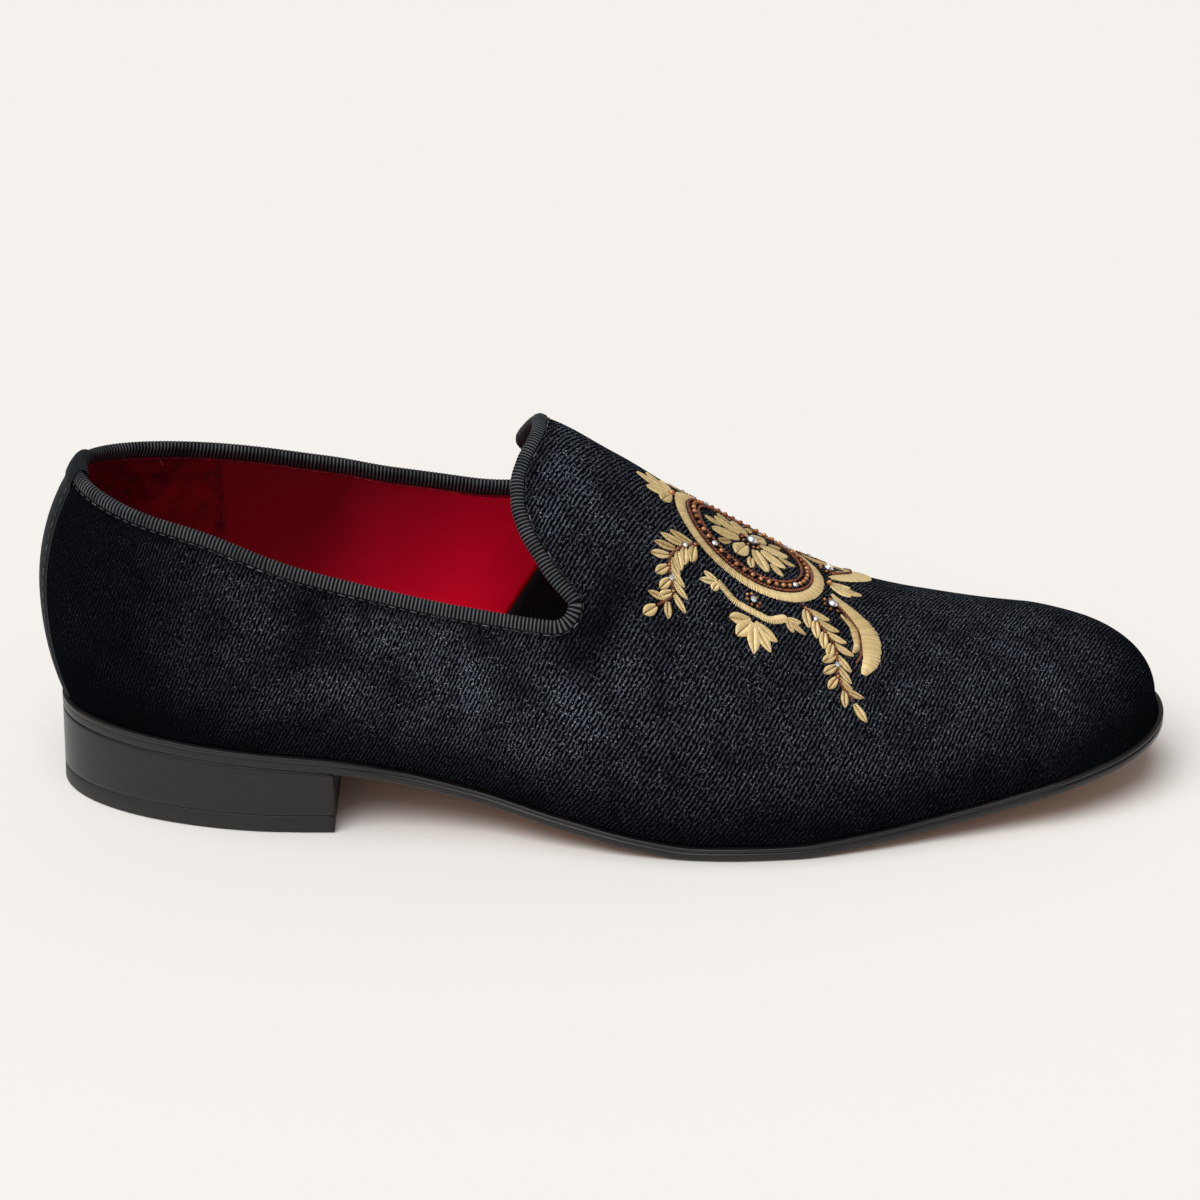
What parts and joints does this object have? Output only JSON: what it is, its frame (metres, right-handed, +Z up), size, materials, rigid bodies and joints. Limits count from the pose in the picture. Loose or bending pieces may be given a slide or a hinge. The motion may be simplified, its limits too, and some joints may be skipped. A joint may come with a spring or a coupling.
{
  "type": "embroidered velvet slipper-loafer",
  "caption": "Right shoe: low-cut velvet slipper-loafer with a high front tab, bound collar, back strip, arched leather outsole with toe spring and a low stacked heel.",
  "frame": {"origin": "middle of the heel's wearing face, on the floor", "axes": "+Z up, +X from heel to toe along the heel's long axis, -Y to the outer side of the foot"},
  "size_m": [0.3015, 0.1034, 0.1028],
  "materials": {
    "velvet": "navy-black crushed velvet",
    "ribbed_binding": "black ribbed grosgrain tape",
    "plain_tape": "plain matt black tape",
    "red_lining": "smooth glazed red lining leather",
    "red_suede": "red suede heel grip",
    "gold_thread": "glossy gold embroidery thread",
    "copper_beads": "small copper coloured beads",
    "clear_stones": "small clear faceted stones",
    "sole_edge": "black waxed and burnished sole edge",
    "heel_finish": "black waxed stacked heel, satin",
    "lift_rubber": "black rubber top lift"
  },
  "bodies": {
    "root": {"upper": "velvet", "collar_binding": "ribbed_binding", "back_strip": "plain_tape", "insole": "red_lining", "outsole": "sole_edge", "heel_stack": "heel_finish", "heel_top_lift": "lift_rubber"}
  },
  "joints": []
}
